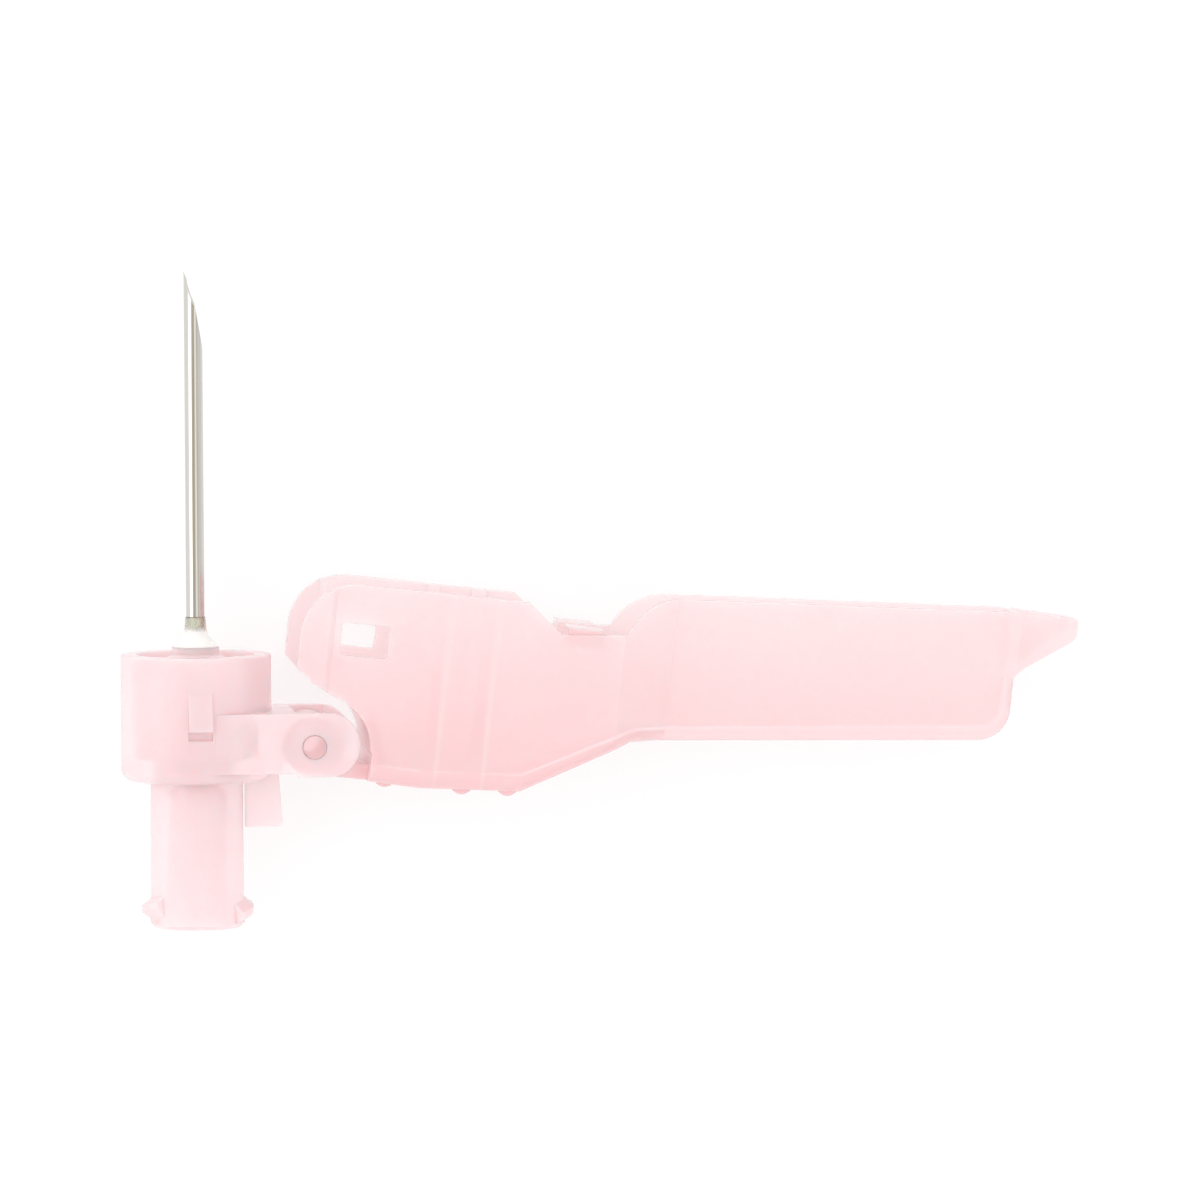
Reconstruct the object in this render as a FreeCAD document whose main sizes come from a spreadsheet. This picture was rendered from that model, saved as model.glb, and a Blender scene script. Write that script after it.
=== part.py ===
"""Safety hypodermic needle, 18 gauge by 25 mm, with a hinged side-swinging shield. Millimetres.

It lies on its side, as it comes to rest. +Y runs along the needle, from the Luer socket's mouth to
the tip, +X points from the needle to the hinge and +Z is up. The origin is the centre of the mouth.

The pieces are a moulded hub with a female Luer lock, the steel cannula bonded into it with
adhesive, a collar that snaps over the hub and turns on it, and the shield, hinged to the collar's
two ears. The shield is drawn where it stands when it is locked over the needle, measured from the
hinge's axis, and is then swung open to the place where the photograph shows it.
"""

import FreeCAD, Part
import os
import re

import Sketcher
from FreeCAD import Placement, Rotation, Vector

SIZES = {
    # Hub, a body of revolution about the needle's axis.
    "barrel_radius": (3.22, "hub barrel at the mouth"),
    "barrel_draft": (0.05, "how much the barrel narrows towards the collar"),
    "barrel_length": (10.05, "mouth to the shoulder that the collar sits on"),
    "mouth_chamfer": (0.3, "outer edge of the mouth"),
    "socket_radius": (2.15, "Luer socket at the mouth"),
    "socket_taper": (0.03, "six per cent taper on the diameter"),
    "socket_depth": (9.1, "length of the conical socket"),
    "journal_radius": (2.95, "plain journal that the collar turns on"),
    "snap_grip": (0.3, "how far the snap bead stands out past the collar's bore"),
    "snap_height": (0.9, "length of the snap bead"),
    "spigot_radius": (2.45, "hub above the bead, inside the cup"),
    "neck_radius": (1.63, "neck round the adhesive"),
    "neck_top": (19.3, "mouth to the top of the neck"),
    "neck_height": (0.45, "straight part of the neck"),
    "neck_flare": (0.5, "cone between the spigot and the neck"),
    "lug_radius": (3.85, "Luer lock lugs, half of their 7.7 mm span"),
    "lug_base": (1.5, "thread lug at its root"),
    "lug_crest": (0.45, "thread lug at its crest"),
    "lug_height": (1.3, "mouth to the middle of the lugs"),
    "lug_arc": (80, "degrees of the barrel that one lug covers"),
    "lug_lead": (9, "degrees that the lugs climb, as a thread"),
    # Cannula and its bond.
    "cannula_radius": (0.635, "18 gauge tube"),
    "cannula_bore": (0.42, "half the lumen of a regular wall"),
    "cannula_foot": (11.0, "mouth to the lower end of the tube"),
    "cannula_tip": (45.12, "mouth to the point"),
    "bevel_length": (5.35, "point to the heel of the first grind"),
    "bevel_angle": (10, "first grind, degrees to the axis"),
    "lancet_angle": (21, "two side grinds, degrees to the axis"),
    "lancet_turn": (35, "side grinds, degrees turned about the axis"),
    "well_radius": (1.1, "adhesive well in the neck"),
    "well_depth": (1.6, "adhesive well in the neck"),
    "bond_foot": (1.48, "adhesive cone where it meets the neck"),
    "bond_rise": (0.42, "height of the cone before its concave sweep"),
    "bond_sweep": (0.9, "radius of the concave sweep"),
    "sleeve_radius": (0.72, "clear film that has crept up the tube"),
    "sleeve_height": (2.1, "top of the neck to the end of the film"),
    # Collar, an open cup that turns on the hub.
    "collar_radius": (5.18, "outside of the cup"),
    "collar_wall": (0.8, "wall of the cup"),
    "collar_height": (8.7, "bottom face to the rim"),
    "collar_floor": (1.6, "floor that rides on the journal"),
    "collar_round": (0.9, "rounded bottom edge"),
    "rim_ring": (0.7, "height of the thick ring at the rim"),
    "rim_wall": (1.1, "wall of that ring"),
    "rim_round": (0.15, "outer edge of the rim"),
    "swivel_clearance": (0.06, "collar bore round the journal"),
    "swivel_play": (0.08, "end play of the collar on the hub"),
    # Ears, fin and catches on the collar.
    "hinge_reach": (2.62, "cup wall to the hinge's axis"),
    "hinge_height": (2.52, "collar's bottom face to the hinge's axis"),
    "ear_tuck": (0.1, "how far the ears' faces stand inside the cup's outside"),
    "ear_wall": (1.0, "one ear"),
    "ear_root": (0.9, "where the ears leave the side of the cup"),
    "ear_reach": (3.15, "hinge's axis to the ears' round end"),
    "ear_rise": (2.3, "hinge's axis to the ears' top edge"),
    "ear_drop": (2.05, "hinge's axis to the ears' bottom edge"),
    "ear_step": (0.24, "the bottom edge is higher beside the cup"),
    "ear_step_reach": (1.25, "length of that stretch, from the cup's wall"),
    "horn_reach": (1.2, "hinge's axis to the end of the web over the knuckle"),
    "lead_width": (2.4, "lead-in groove inside each ear"),
    "lead_depth": (0.15, "lead-in groove inside each ear"),
    "fin_setback": (2.2, "hinge's axis to the fin's edge under the floor"),
    "fin_spread": (0.3, "the fin is this much wider at its foot"),
    "fin_length": (3.25, "stop fin under the collar"),
    "fin_wall": (1.0, "stop fin"),
    "fin_gap": (0.1, "fin to the barrel"),
    "fin_round": (0.35, "corner of the fin's foot"),
    "catch_width": (1.65, "locking catch on each side of the cup"),
    "catch_base": (1.18, "hinge's axis to the catch's flat locking face"),
    "catch_length": (2.82, "locking catch"),
    "catch_proud": (0.62, "locking catch at its flat face"),
    "catch_recess": (0.65, "length of the recess under the catch"),
    "catch_recess_depth": (0.3, "recess under the catch"),
    # Shield widths, across the needle.
    "side_gap": (0.3, "cup to the inside of the shield"),
    "shield_wall": (0.8, "side walls"),
    "lip_flare": (0.45, "how much wider the lip is, to pass the catches"),
    "lip_bar": (0.5, "bar between the lip and the window"),
    "lip_slope": (0.4, "slope between the lip and the side walls"),
    "narrow_half": (3.3, "half the narrow channel"),
    "shoulder_start": (20.3, "where the shield starts to narrow"),
    "shoulder_end": (24.0, "where the narrow channel starts"),
    "beak_half": (2.2, "half the beak's nose"),
    # Shield profile, seen along the hinge. Reaches run towards the needle, places along it.
    "knuckle_radius": (2.05, "hinge barrel"),
    "knuckle_gap": (0.15, "collar round the hinge barrel"),
    "knuckle_play": (0.08, "hinge barrel between the ears"),
    "pin_radius": (0.8, "hinge pins moulded on the barrel"),
    "pin_clearance": (0.03, "pin in its ear"),
    "relief_radius": (3.74, "side walls cleared round the ears"),
    "hinge_wall": (0.66, "curved wall beside the hinge"),
    "hinge_wall_reach": (2.2, "hinge's axis to the end of that wall"),
    "strap_wall": (1.05, "strap from the barrel to the back wall"),
    "back_reach": (1.92, "hinge's axis to the outside of the back"),
    "back_start": (3.85, "where the back wall starts"),
    "belly_rise": (0.12, "the back's slight outward bow"),
    "belly_place": (7.4, "place of that bow"),
    "knee_drop": (0.36, "the back comes in by this much before the ramp"),
    "knee_place": (14.3, "where the back turns to the ramp"),
    "ramp_reach": (2.5, "hinge's axis to the ramp's end"),
    "ramp_place": (21.5, "end of the ramp"),
    "narrow_lean": (2.77, "the narrow back comes in by this much to its end"),
    "shield_length": (47.85, "hinge's axis to the end wall"),
    "rim_reach": (11.46, "hinge's axis to the open edge of the wide part"),
    "rim_end": (13.5, "end of that edge, where the notch starts"),
    "notch_reach": (9.5, "hinge's axis to the notch's floor"),
    "notch_lean": (0.41, "the notch's floor rises by this much"),
    "notch_start": (15.9, "start of the notch's floor"),
    "notch_end": (20.45, "end of the notch's floor"),
    "crest_reach": (12.44, "hinge's axis to the narrow part's open edge"),
    "crest_place": (21.67, "corner where that edge starts"),
    "crest_lean": (1.72, "that edge rises by this much to the beak"),
    "lip_drop": (1.9, "hinge's axis to the lip's end"),
    "lip_tip": (5.5, "hinge's axis to the lip's near corner"),
    "heel_reach": (4.45, "hinge's axis to the heel, where the lip's near edge ends"),
    "heel_drop": (0.75, "hinge's axis to the heel, along the needle"),
    "relief_reach": (2.85, "hinge's axis to the start of the relief"),
    "relief_rise": (2.42, "place of that start"),
    "beak_length": (4.06, "end wall to the nose"),
    "beak_reach": (10.05, "hinge's axis to the root of the beak"),
    "beak_depth": (1.42, "height of the nose"),
    "beak_tuck": (0.05, "the nose's edge comes in by this much"),
    "back_wall": (1.1, "back wall of the wide part"),
    "narrow_wall": (0.85, "back wall of the narrow part"),
    "end_wall": (0.65, "end wall of the narrow part"),
    "beak_wall": (0.7, "floor and nose of the beak"),
    "lip_round": (3.8, "round corner of the lip"),
    "crest_round": (4.2, "round corner where the narrow part rises"),
    "end_round": (2.3, "round corner at the far end"),
    "beak_round": (1.4, "hollow corner under the beak"),
    "nose_round": (0.3, "edge of the nose on the open side"),
    "nose_foot_round": (0.9, "edge of the nose on the back"),
    "back_round": (1.2, "long outer edges of the back"),
    "inner_round": (0.5, "long inner edges of the back"),
    # Window, ribs, finger ridges and needle catch of the shield.
    "window_length": (3.3, "window for the catch, along the needle"),
    "window_width": (2.25, "window for the catch, across"),
    "window_offset": (0.12, "window's middle, past the needle's axis"),
    "window_round": (0.25, "corners of the window"),
    "lock_play": (0.32, "catch face to the edge of the window"),
    "rib_proud": (0.5, "inner ribs of the side walls"),
    "first_rib_place": (7.4, "near edge of the first rib"),
    "first_rib_width": (0.85, "first rib"),
    "second_rib_place": (10.5, "near edge of the second rib"),
    "second_rib_width": (1.0, "second rib"),
    "ridge_radius": (0.8, "finger ridges across the back"),
    "ridge_half": (4.8, "half the length of a ridge"),
    "low_ridge_place": (5.0, "ridge nearest to the hinge"),
    "low_ridge_proud": (0.3, "that ridge's height over the back"),
    "mid_ridge_place": (10.3, "middle ridge"),
    "mid_ridge_proud": (0.26, "its height over the back"),
    "high_ridge_place": (13.45, "last ridge, before the ramp"),
    "high_ridge_proud": (0.4, "its height over the back"),
    "hook_place": (16.43, "hooks that trap the needle"),
    "hook_length": (2.47, "hooks, along the needle"),
    "hook_wall": (1.2, "hooks, in depth"),
    "hook_reach": (10.02, "hinge's axis to the hooks' outer face"),
    "hook_gap": (0.12, "slot between the hooks, past the needle's sides"),
    # Pose in the photograph.
    "open_angle": (96.7, "degrees that the shield is swung open from its lock"),
}

# Places worked out from the sizes, along the hub from the mouth or, in the shield, from the hinge.
PLACES = {
    "floor_low": "barrel_length + swivel_play",
    "floor_high": "floor_low + collar_floor",
    "bead_low": "floor_high + swivel_play",
    "bore_radius": "journal_radius + swivel_clearance",
    "bead_radius": "bore_radius + snap_grip",
    "collar_top": "floor_low + collar_height",
    "cup_radius": "collar_radius - collar_wall",
    "hinge_x": "collar_radius + hinge_reach",
    "hinge_y": "floor_low + hinge_height",
    "fin_near": "barrel_radius + fin_gap",
    "fin_far": "hinge_x - fin_setback",
    "fin_low": "floor_low - fin_length",
    "ear_half": "collar_radius - ear_tuck",
    "gap_half": "ear_half - ear_wall",
    "catch_low": "hinge_y + catch_base",
    "side_inner": "collar_radius + side_gap",
    "side_outer": "side_inner + shield_wall",
    "lip_inner": "side_inner + lip_flare",
    "lip_outer": "side_outer + lip_flare",
    "window_low": "catch_base - lock_play",
    "lip_end": "window_low - lip_bar",
    "knuckle_half": "gap_half - knuckle_play",
    "belly_reach": "back_reach + belly_rise",
    "knee_reach": "back_reach - knee_drop",
    "narrow_end": "ramp_reach + narrow_lean",
    "nose_place": "shield_length + beak_length",
    "crest_end": "crest_reach + crest_lean",
    "nose_reach": "crest_end - beak_tuck",
}

FAR = "60"  # past every face of the shield
SHEET = "Sizes"


def cells(text):
    """An expression on the sheet, from a formula in the names of SIZES and PLACES."""

    def named(match):
        name = match[0]
        if name in PLACES:
            return f"({cells(PLACES[name])})"
        return f"{SHEET}.{name}" if name in SIZES else name

    return re.sub(r"[a-z_]+", named, text)


def make_sheet(doc):
    sheet = doc.addObject("Spreadsheet::Sheet", SHEET)
    for row, (name, (value, note)) in enumerate(SIZES.items(), start=1):
        sheet.set(f"A{row}", name)
        sheet.set(f"B{row}", str(value))
        sheet.set(f"C{row}", note)
        sheet.setAlias(f"B{row}", name)
    doc.recompute()
    return sheet


doc = FreeCAD.newDocument("safety_needle")
sheet = make_sheet(doc)


def number(text):
    """The value of a formula, to find a corner or an edge by its place."""
    value = sheet.evalExpression(cells(text))
    return float(getattr(value, "Value", value))


def bind(item, **formulas):
    for name, text in formulas.items():
        item.setExpression(name, cells(text))


def place(item, x="0", y="0", z="0", axis=(0, 0, 1), angle="0"):
    """A placement bound to the sheet: a place, and a turn in degrees about one axis."""
    item.Placement = Placement(Vector(), Rotation(Vector(*axis), 1))
    item.setExpression("Placement.Base.x", cells(x))
    item.setExpression("Placement.Base.y", cells(y))
    item.setExpression("Placement.Base.z", cells(z))
    item.setExpression("Placement.Rotation.Angle", cells(angle))


def draw(body, name, role, *polygons):
    """A sketch on one of the body's own origin planes; each corner is a pair of formulas."""
    sketch = body.newObject("Sketcher::SketchObject", name)
    plane = next(f for f in body.Origin.OriginFeatures if f.Role == role)
    sketch.AttachmentSupport = [(plane, "")]
    sketch.MapMode = "FlatFace"
    for corners in polygons:
        first = sketch.GeometryCount
        spots = [Vector(number(x), number(y), 0) for x, y in corners]
        ends = spots[1:] + spots[:1]
        for start, end in zip(spots, ends):
            sketch.addGeometry(Part.LineSegment(start, end))
        last = sketch.GeometryCount - 1
        for index in range(first, last + 1):
            follows = first if index == last else index + 1
            sketch.addConstraint(Sketcher.Constraint("Coincident", index, 2, follows, 1))
        for index, (spot, corner) in enumerate(zip(spots, corners), start=first):
            for kind, size, text in zip(("DistanceX", "DistanceY"), spot, corner):
                made = sketch.addConstraint(Sketcher.Constraint(kind, -1, 1, index, 1, size))
                sketch.setExpression(f"Constraints[{made}]", cells(text))
    return sketch


def draw_circle(body, name, role, x, y, radius):
    sketch = draw(body, name, role)
    centre = Vector(number(x), number(y), 0)
    sketch.addGeometry(Part.Circle(centre, Vector(0, 0, 1), number(radius)))
    for kind, size, text in (("DistanceX", centre.x, x), ("DistanceY", centre.y, y)):
        made = sketch.addConstraint(Sketcher.Constraint(kind, -1, 1, 0, 3, size))
        sketch.setExpression(f"Constraints[{made}]", cells(text))
    made = sketch.addConstraint(Sketcher.Constraint("Radius", 0, number(radius)))
    sketch.setExpression(f"Constraints[{made}]", cells(radius))
    return sketch


def pad(body, name, sketch, width):
    """Material on both sides of the sketch's plane."""
    made = body.newObject("PartDesign::Pad", name)
    made.Profile = sketch
    made.Midplane = True
    bind(made, Length=width)
    return made


def pocket(body, name, sketch, width):
    """A cut on both sides of the sketch's plane."""
    made = body.newObject("PartDesign::Pocket", name)
    made.Profile = sketch
    made.Midplane = True
    bind(made, Length=width)
    return made


def revolve(body, kind, name, sketch):
    """A full turn about the needle's axis, as a Revolution or a Groove."""
    made = body.newObject(f"PartDesign::{kind}", name)
    made.Profile = sketch
    made.ReferenceAxis = (sketch, ["V_Axis"])
    made.Angle = 360
    return made


def round_edges(body, name, radius, test):
    """A fillet on the edges of the body's last feature that pass the test."""
    doc.recompute()
    base = body.Tip
    edges = enumerate(base.Shape.Edges, start=1)
    names = [f"Edge{index}" for index, edge in edges if test(edge)]
    made = body.newObject("PartDesign::Fillet", name)
    made.Base = (base, names)
    bind(made, Radius=radius)
    return made


def stands_at(*corners):
    """A test for the edges that stand on the profile's corners, across the needle."""
    spots = [(number(x), number(y)) for x, y in corners]

    def test(edge):
        return any(
            all(abs(v.X - x) < 0.01 and abs(v.Y - y) < 0.01 for v in edge.Vertexes)
            for x, y in spots
        )

    return test


def lies_at_height(height, radius=None):
    """A test for the edges at a height along the needle and, if given, a radius from its axis."""
    level = number(height)

    def test(edge):
        for vertex in edge.Vertexes:
            reach = Vector(vertex.X, 0, vertex.Z).Length
            if abs(vertex.Y - level) > 0.01 or (radius and abs(reach - number(radius)) > 0.01):
                return False
        return True

    return test


def cylinder(name, radius, half, x="0", y="0"):
    """A round bar along the hinge's direction, centred on the plane of symmetry."""
    made = doc.addObject("Part::Cylinder", name)
    bind(made, Radius=radius, Height=f"2 * ({half})")
    place(made, x, y, f"-({half})")
    return made


def box(name, x, y, z):
    """A block between pairs of formulas, low and high, along each axis."""
    made = doc.addObject("Part::Box", name)
    for side, (low, high) in zip(("Length", "Width", "Height"), (x, y, z)):
        bind(made, **{side: f"({high}) - ({low})"})
    place(made, x[0], y[0], z[0])
    return made


def fuse(name, *shapes):
    made = doc.addObject("Part::MultiFuse", name)
    made.Shapes = list(shapes)
    return made


def cut(name, base, tool):
    made = doc.addObject("Part::Cut", name)
    made.Base = base
    made.Tool = tool
    return made


def make_hub():
    """Female Luer lock, journal, snap bead and neck in one moulding."""
    body = doc.addObject("PartDesign::Body", "hub_turned")
    profile = [
        ("socket_radius", "0"),
        ("barrel_radius - mouth_chamfer", "0"),
        ("barrel_radius", "mouth_chamfer"),
        ("barrel_radius - barrel_draft", "barrel_length"),
        ("journal_radius", "barrel_length"),
        ("journal_radius", "bead_low"),
        ("bead_radius", "bead_low"),
        ("bead_radius", "bead_low + snap_height / 3"),
        ("spigot_radius + snap_grip", "bead_low + snap_height"),
        ("spigot_radius", "neck_top - neck_height - neck_flare"),
        ("neck_radius", "neck_top - neck_height"),
        ("neck_radius", "neck_top"),
        ("well_radius", "neck_top"),
        ("well_radius", "neck_top - well_depth"),
        ("cannula_radius", "neck_top - well_depth"),
        ("cannula_radius", "cannula_foot"),
        ("cannula_bore", "cannula_foot"),
        ("cannula_bore", "cannula_foot - cannula_radius"),
        ("socket_radius - socket_taper * socket_depth", "socket_depth"),
    ]
    revolve(body, "Revolution", "hub_turn", draw(body, "hub_profile", "XY_Plane", profile))
    near = make_lock_lug("near_lock_lug", "1")
    far = make_lock_lug("far_lock_lug", "-1")
    return fuse("hub", body, near, far)


def make_lock_lug(name, side):
    """One thread lug: a sector of a ring round the barrel, tilted so that it climbs as a thread."""
    body = doc.addObject("PartDesign::Body", name)
    root = f"{side} * (barrel_radius - 2 * mouth_chamfer)"
    skin = f"{side} * (barrel_radius - barrel_draft)"
    crest = f"{side} * lug_radius"
    profile = [
        (root, "-lug_base / 2"),
        (skin, "-lug_base / 2"),
        (crest, "-lug_crest / 2"),
        (crest, "lug_crest / 2"),
        (skin, "lug_base / 2"),
        (root, "lug_base / 2"),
    ]
    sketch = draw(body, f"{name}_profile", "XY_Plane", profile)
    ring = revolve(body, "Revolution", f"{name}_turn", sketch)
    ring.Midplane = True
    bind(ring, Angle="lug_arc")
    place(body, y="lug_height", axis=(1, 0, 0), angle=f"{side} * lug_lead")
    return body


def make_cannula():
    """The steel tube with a lancet point: one long grind and two steeper side grinds."""
    blank = make_rod("tube_blank", "cannula_radius")
    lumen = make_rod("lumen", "cannula_bore")
    tube = cut("cannula_tube", blank, lumen)
    heel = doc.addObject("Part::Box", "first_grind")
    bind(heel, Length="barrel_radius", Width="cannula_tip", Height="2 * barrel_radius")
    heel_place = "cannula_tip - bevel_length"
    place(heel, "cannula_radius", heel_place, "-barrel_radius", angle="bevel_angle")
    sides = [make_side_grind("near_grind", "1"), make_side_grind("far_grind", "-1")]
    return cut("cannula", tube, fuse("lancet_grinds", heel, *sides))


def make_rod(name, radius):
    """A rod along the needle's axis, from the tube's foot to its point."""
    rod = doc.addObject("Part::Cylinder", name)
    bind(rod, Radius=radius, Height="cannula_tip - cannula_foot")
    place(rod, y="cannula_foot", axis=(1, 0, 0), angle="-90")
    return rod


def make_side_grind(name, side):
    """What a side grind takes off: a block whose face passes through the point."""
    block = doc.addObject("Part::Box", name)
    bind(block, Length="barrel_radius", Width="2 * barrel_radius", Height="2 * barrel_radius")
    point = "vector(-(cannula_radius); cannula_tip; 0)"
    lean = "rotation(vector(0; 0; 1); lancet_angle)"
    turn = f"rotation(vector(0; 1; 0); {side} * lancet_turn)"
    middle = "placement(vector(0; -(barrel_radius); -(barrel_radius)); rotation(vector(0; 0; 1); 0))"
    block.setExpression("Placement", cells(f"placement({point}; {turn} * {lean}) * {middle}"))
    return block


def make_adhesive():
    """The bond that fills the hub's well, sweeps up to the tube and thins out along it."""
    body = doc.addObject("PartDesign::Body", "adhesive")
    profile = [
        ("cannula_radius", "neck_top - well_depth"),
        ("well_radius", "neck_top - well_depth"),
        ("well_radius", "neck_top"),
        ("bond_foot", "neck_top"),
        ("sleeve_radius + cannula_radius / 10", "neck_top + bond_rise"),
        ("sleeve_radius", "neck_top + sleeve_height - sleeve_radius / 2"),
        ("cannula_radius", "neck_top + sleeve_height"),
    ]
    revolve(body, "Revolution", "bond_turn", draw(body, "bond_profile", "XY_Plane", profile))
    round_edges(body, "bond_sweep_fillet", "bond_sweep", lies_at_height("neck_top + bond_rise"))
    return body


def make_collar():
    """The turning cup with its two hinge ears, stop fin and locking catches, in one moulding."""
    body = doc.addObject("PartDesign::Body", "collar")
    blank = [
        ("bore_radius", "floor_low"),
        ("collar_radius", "floor_low"),
        ("collar_radius", "collar_top"),
        ("bore_radius", "collar_top"),
    ]
    revolve(body, "Revolution", "collar_blank", draw(body, "blank_profile", "XY_Plane", blank))
    round_edges(body, "bottom_round", "collar_round", lies_at_height("floor_low", "collar_radius"))
    round_edges(body, "rim_edge", "rim_round", lies_at_height("collar_top", "collar_radius"))

    step = "collar_radius + ear_step_reach"
    ears = [
        ("ear_root", "hinge_y - ear_drop + ear_step"),
        (step, "hinge_y - ear_drop + ear_step"),
        (f"{step} + ear_step", "hinge_y - ear_drop"),
        ("hinge_x + ear_reach", "hinge_y - ear_drop"),
        ("hinge_x + ear_reach", "hinge_y + ear_rise"),
        ("ear_root", "hinge_y + ear_rise"),
    ]
    pad(body, "ears", draw(body, "ear_profile", "XY_Plane", ears), "2 * ear_half")
    ends = stands_at(
        ("hinge_x + ear_reach", "hinge_y - ear_drop"), ("hinge_x + ear_reach", "hinge_y + ear_rise")
    )
    round_edges(body, "ear_ends", "(ear_rise + ear_drop) / 2.02", ends)

    web = "hinge_x - knuckle_radius - knuckle_gap"
    gap = [
        ("hinge_x - horn_reach", "collar_top"),
        ("hinge_x - horn_reach", "hinge_y"),
        (web, "hinge_y"),
        (web, "barrel_length"),
        (FAR, "barrel_length"),
        (FAR, "collar_top"),
    ]
    pocket(body, "knuckle_gap_cut", draw(body, "gap_profile", "XY_Plane", gap), "2 * gap_half")
    seat = draw_circle(
        body, "seat_profile", "XY_Plane", "hinge_x", "hinge_y", "knuckle_radius + knuckle_gap"
    )
    pocket(body, "knuckle_seat", seat, "2 * gap_half")
    lead = [
        ("hinge_x - lead_width / 2", "barrel_length"),
        ("hinge_x + lead_width / 2", "barrel_length"),
        ("hinge_x + lead_width / 2", "collar_top"),
        ("hinge_x - lead_width / 2", "collar_top"),
    ]
    lead_sketch = draw(body, "lead_profile", "XY_Plane", lead)
    pocket(body, "lead_in_grooves", lead_sketch, "2 * (gap_half + lead_depth)")
    holes = draw_circle(
        body, "pin_profile", "XY_Plane", "hinge_x", "hinge_y", "pin_radius + pin_clearance"
    )
    pocket(body, "pin_holes", holes, "3 * ear_half")

    fin = [
        ("fin_near", "fin_low"),
        ("fin_far + fin_spread", "fin_low"),
        ("fin_far", "floor_low + collar_floor / 2"),
        ("fin_near", "floor_low + collar_floor / 2"),
    ]
    pad(body, "stop_fin", draw(body, "fin_profile", "XY_Plane", fin), "fin_wall")
    foot_corner = stands_at(("fin_far + fin_spread", "fin_low"))
    round_edges(body, "fin_corner", "fin_round", foot_corner)

    wedges, recesses = [], []
    for side in ("", "-"):
        wedges.append(
            [
                ("catch_low", f"{side}(collar_radius - collar_wall / 2)"),
                ("catch_low", f"{side}(collar_radius + catch_proud)"),
                ("catch_low + catch_length", f"{side}(collar_radius - collar_wall / 8)"),
                ("catch_low + catch_length", f"{side}(collar_radius - collar_wall / 2)"),
            ]
        )
        recesses.append(
            [
                ("catch_low - catch_recess", f"{side}(collar_radius - catch_recess_depth)"),
                ("catch_low - catch_recess", f"{side}(collar_radius + catch_proud)"),
                ("catch_low", f"{side}(collar_radius + catch_proud)"),
                ("catch_low", f"{side}(collar_radius - catch_recess_depth)"),
            ]
        )
    pad(body, "catches", draw(body, "catch_profile", "YZ_Plane", *wedges), "catch_width")
    recess_sketch = draw(body, "recess_profile", "YZ_Plane", *recesses)
    pocket(body, "catch_recesses", recess_sketch, "catch_width")

    cup = [
        ("0", "floor_high"),
        ("cup_radius", "floor_high"),
        ("cup_radius", "collar_top - rim_ring"),
        ("collar_radius - rim_wall", "collar_top - rim_ring"),
        ("collar_radius - rim_wall", "collar_top"),
        ("0", "collar_top"),
    ]
    revolve(body, "Groove", "cup_hollow", draw(body, "cup_profile", "XY_Plane", cup))
    bore = [
        ("0", "0"),
        ("bore_radius", "0"),
        ("bore_radius", "collar_top"),
        ("0", "collar_top"),
    ]
    revolve(body, "Groove", "journal_bore", draw(body, "bore_profile", "XY_Plane", bore))
    return body


def plan_waste(body, name, lip, side, narrow, nose):
    """What lies outside the shield's plan: lip, wide part, shoulders, narrow part and beak."""
    outside = "4 * side_outer"
    halves = []
    for sign in ("", "-"):
        halves.append(
            [
                (f"-{FAR}", f"{sign}({lip})"),
                ("lip_end - lip_slope", f"{sign}({lip})"),
                ("lip_end", f"{sign}({side})"),
                ("shoulder_start", f"{sign}({side})"),
                ("shoulder_end", f"{sign}({narrow})"),
                ("shield_length", f"{sign}({narrow})"),
                ("nose_place", f"{sign}({nose})"),
                (f"nose_place + {FAR}", f"{sign}({nose})"),
                (f"nose_place + {FAR}", f"{sign}({outside})"),
                (f"-{FAR}", f"{sign}({outside})"),
            ]
        )
    sketch = draw(body, f"{name}_plan", "YZ_Plane", *halves)
    return pocket(body, f"{name}_plan_cut", sketch, f"2 * {FAR}")


def make_shield_form():
    """The shield as a solid form: its profile along the hinge, cut to its plan, with rounded edges."""
    body = doc.addObject("PartDesign::Body", "shield_form")
    lip = ("-rim_reach", "-lip_drop")
    crest = ("-crest_reach", "crest_place")
    nose = ("-nose_reach", "nose_place")
    beak_foot = ("-nose_reach + beak_depth", "nose_place")
    beak_root = ("-beak_reach", "shield_length")
    far_end = ("-narrow_end", "shield_length")
    profile = [
        ("-lip_tip", "-lip_drop"),
        ("-heel_reach", "-heel_drop"),
        ("-relief_reach", "relief_rise"),
        ("0", "back_start"),
        ("back_reach", "back_start"),
        ("belly_reach", "belly_place"),
        ("knee_reach", "knee_place"),
        ("-ramp_reach", "ramp_place"),
        far_end,
        beak_root,
        beak_foot,
        nose,
        ("-crest_end", "shield_length - end_wall"),
        crest,
        ("-notch_reach - notch_lean", "notch_end"),
        ("-notch_reach", "notch_start"),
        ("-rim_reach", "rim_end"),
        lip,
    ]
    pad(body, "form_pad", draw(body, "form_profile", "XY_Plane", profile), "4 * side_outer")
    round_edges(body, "lip_fillet", "lip_round", stands_at(lip))
    round_edges(body, "crest_fillet", "crest_round", stands_at(crest))
    round_edges(body, "end_fillet", "end_round", stands_at(far_end))
    round_edges(body, "beak_fillet", "beak_round", stands_at(beak_root))
    round_edges(body, "nose_fillet", "nose_round", stands_at(nose))
    round_edges(body, "nose_foot_fillet", "nose_foot_round", stands_at(beak_foot))
    plan_waste(body, "form", "lip_outer", "side_outer", "narrow_half", "beak_half")
    back = [
        ("back_reach", "back_start"),
        ("belly_reach", "belly_place"),
        ("knee_reach", "knee_place"),
        ("-ramp_reach", "ramp_place"),
        far_end,
    ]
    round_edges(body, "back_fillet", "back_round", long_edges(*back))
    return body


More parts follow.
